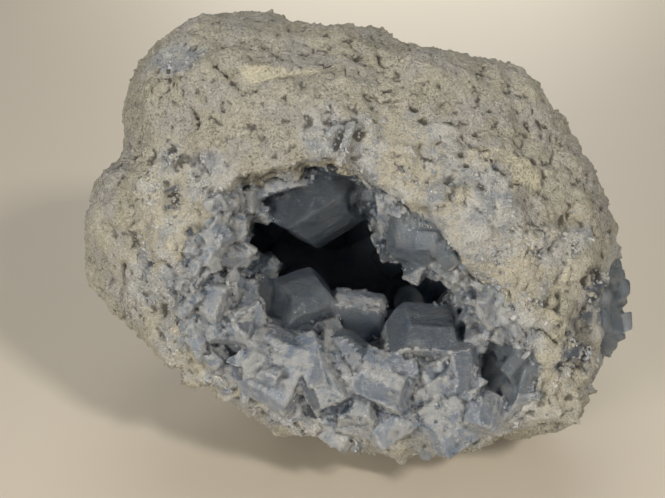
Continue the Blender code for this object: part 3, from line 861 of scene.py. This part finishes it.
# the cloudy crystals are frostier and more etched towards the rock
rock_gap = np.array([rock_tree.find_nearest(Vector(place))[3] for place in places])
tones = facet_tones[facet_of] + 0.45 * (1 - smooth_step(rock_gap, 0.003, 0.012)) * cloudy_here
tones = np.clip(tones, 0, 1)
etched = smooth_step(noise_at(places, 0.016, 21.0) + (tones - 0.5) * 0.5, -0.25, 0.25) * cloudy_here
etch(crust, places, normals, 0.25 * cloudy_here + etched)
set_mask(crust, "facet_tone", tones)
crust.data.materials.clear()
crust.data.materials.append(cloudy)
crust.data.materials.append(clear)
for polygon in crust.data.polygons:
    polygon.material_index = int(facet_clear[facet_of[polygon.vertices[0]]])
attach(crust, "root")
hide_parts("celestite_crust")

FLANK_SPACING = 0.0072
FLANK_SIZES = (0.008, 0.014)
flank = flat_faced_copy("flank_celestite", "flank_crystals")
flank_places = scattered(flank, picker, 0.0030, lambda place, out, picker: on_open_side(place))
flank_roots = spaced_out(flank_places, FLANK_SPACING)
blocks = grown_crystals("flank_blocks", flank_roots, picker, BLOCKS, FLANK_SIZES, lean=0.7, sunk=0.84)
places, normals, facet_of, middles = grow_together(flank, (blocks,))
facet_tones = np.array([picker.random() for _ in middles])
etch(flank, places, normals, smooth_step(noise_at(places, 0.012, 27.0), -0.2, 0.3))
set_mask(flank, "facet_tone", facet_tones[facet_of])
flank.data.materials.clear()
flank.data.materials.append(clear)
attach(flank, "root")
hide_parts("flank_celestite")


# The sugary druse.
# Celestite crystals of 1 to 3 mm, grown last. They fill the corners between the large crystals and sparkle
# on the broken rim.

TINY = [
    crystal_blank("grain_block", 0.50, 0.35, 0.9, 0),
    crystal_blank("grain_wedge", 0.10, 0.55, 0.8, 0),
    crystal_blank("grain_plate", 0.70, 0.25, 0.5, 0),
]

GAP_SPACING = 0.0026
GAP_SIZES = (0.0010, 0.0026)
RIM_SPACING = 0.0021
RIM_SIZES = (0.0008, 0.0018)


def in_corners(place, out, picker):
    """In the narrow corners of the cloudy crystals, on their frosty patches and along the seam."""
    if at_the_seam(place, out, picker):
        return picker.random() < 0.5
    if not on_open_side(place) or is_clear(place):
        return False
    frosty = float(smooth_step(np.array(noise.noise(place / 0.011)), 0.05, 0.4))
    return picker.random() < 1.1 * tucked(place, out, 0.004) + 0.5 * frosty - 0.25


def on_sugary_rock(place, out, picker):
    sugary = float(smooth_step(np.array(noise.noise(place / 0.009)), -0.10, 0.25))
    return picker.random() < 0.7 * sugary and on_white_rock(place, out, picker)


gap_roots = scattered(crust, picker, GAP_SPACING, in_corners)
gap_druse = grown_crystals("gap_druse", gap_roots, picker, TINY, GAP_SIZES, lean=0.9, sunk=0.70)
set_mask(gap_druse, "cranny", np.full(len(gap_druse.data.vertices), 0.5))
hold_in_box(gap_druse)
gap_druse.data.materials.append(cloudy)
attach(gap_druse, "root")

rim_roots = scattered(rock, picker, RIM_SPACING, on_sugary_rock)
rim_druse = grown_crystals("rim_druse", rim_roots, picker, TINY, RIM_SIZES, lean=0.9, sunk=0.72)
set_mask(rim_druse, "cranny", np.full(len(rim_druse.data.vertices), 0.5))
hold_in_box(rim_druse)
rim_druse.data.materials.append(sugary)
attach(rim_druse, "root")


# The floor, the lights and the camera.
# A plain pale floor. One soft lamp shines from above on the right, and wider ones from the left, from above
# and from behind fill the shadows.

bpy.ops.object.select_all(action="DESELECT")
bpy.ops.mesh.primitive_plane_add(size=6, location=(0, 0, 0))
floor = bpy.context.object
floor.name = "floor"
floor_finish, tree, shader = new_finish("pale_floor")
FLOOR_COLOUR = (0.68, 0.61, 0.50)
FLOOR_DULLER = (0.64, 0.57, 0.46)
body = mixed(tree, times(tree, grain(tree, 3, 1.5), 0.5), FLOOR_COLOUR, FLOOR_DULLER)
tree.links.new(body, shader.inputs["Base Color"])
shader.inputs["Roughness"].default_value = 0.6
floor.data.materials.append(floor_finish)


MIDDLE = Vector((0, 0, 0.1))
WARM = (1.0, 0.95, 0.88)
WARM_WHITE = (1.0, 0.97, 0.92)


def soft_light(name, place, size, watts, colour):
    """A square lamp that points at the geode's middle."""
    lamp = bpy.data.lights.new(name, "AREA")
    lamp.size = size
    lamp.energy = watts
    lamp.color = colour
    light = bpy.data.objects.new(name, lamp)
    bpy.context.scene.collection.objects.link(light)
    light.location = place
    light.rotation_mode = "QUATERNION"
    light.rotation_quaternion = (MIDDLE - Vector(place)).to_track_quat("-Z", "Y")


soft_light("key_light", (0.60, -0.95, 0.95), 0.16, 10.5, WARM)
soft_light("left_light", (-0.75, -1.15, 0.40), 0.40, 13, WARM_WHITE)
soft_light("top_light", (-0.1, 0.2, 1.5), 0.8, 3, WARM_WHITE)
soft_light("back_light", (0.1, 1.4, 0.6), 0.8, 7, WARM_WHITE)
world = bpy.data.worlds.new("studio")
world.use_nodes = True
background = world.node_tree.nodes["Background"]
background.inputs["Color"].default_value = (0.8, 0.85, 0.9, 1)
background.inputs["Strength"].default_value = 0.16
bpy.context.scene.world = world
bpy.context.scene.view_settings.view_transform = "Standard"

LENS = 60
SENSOR = 36
CAMERA_DISTANCE = 0.5576
camera = bpy.data.objects.new("camera", bpy.data.cameras.new("camera"))
camera.data.lens = LENS
camera.data.sensor_width = SENSOR
camera.location = FACE_ORIGIN + FACE_OUT * CAMERA_DISTANCE
camera.rotation_mode = "QUATERNION"
camera.rotation_quaternion = (-FACE_OUT).to_track_quat("-Z", "Y")
bpy.context.scene.collection.objects.link(camera)
bpy.context.scene.camera = camera
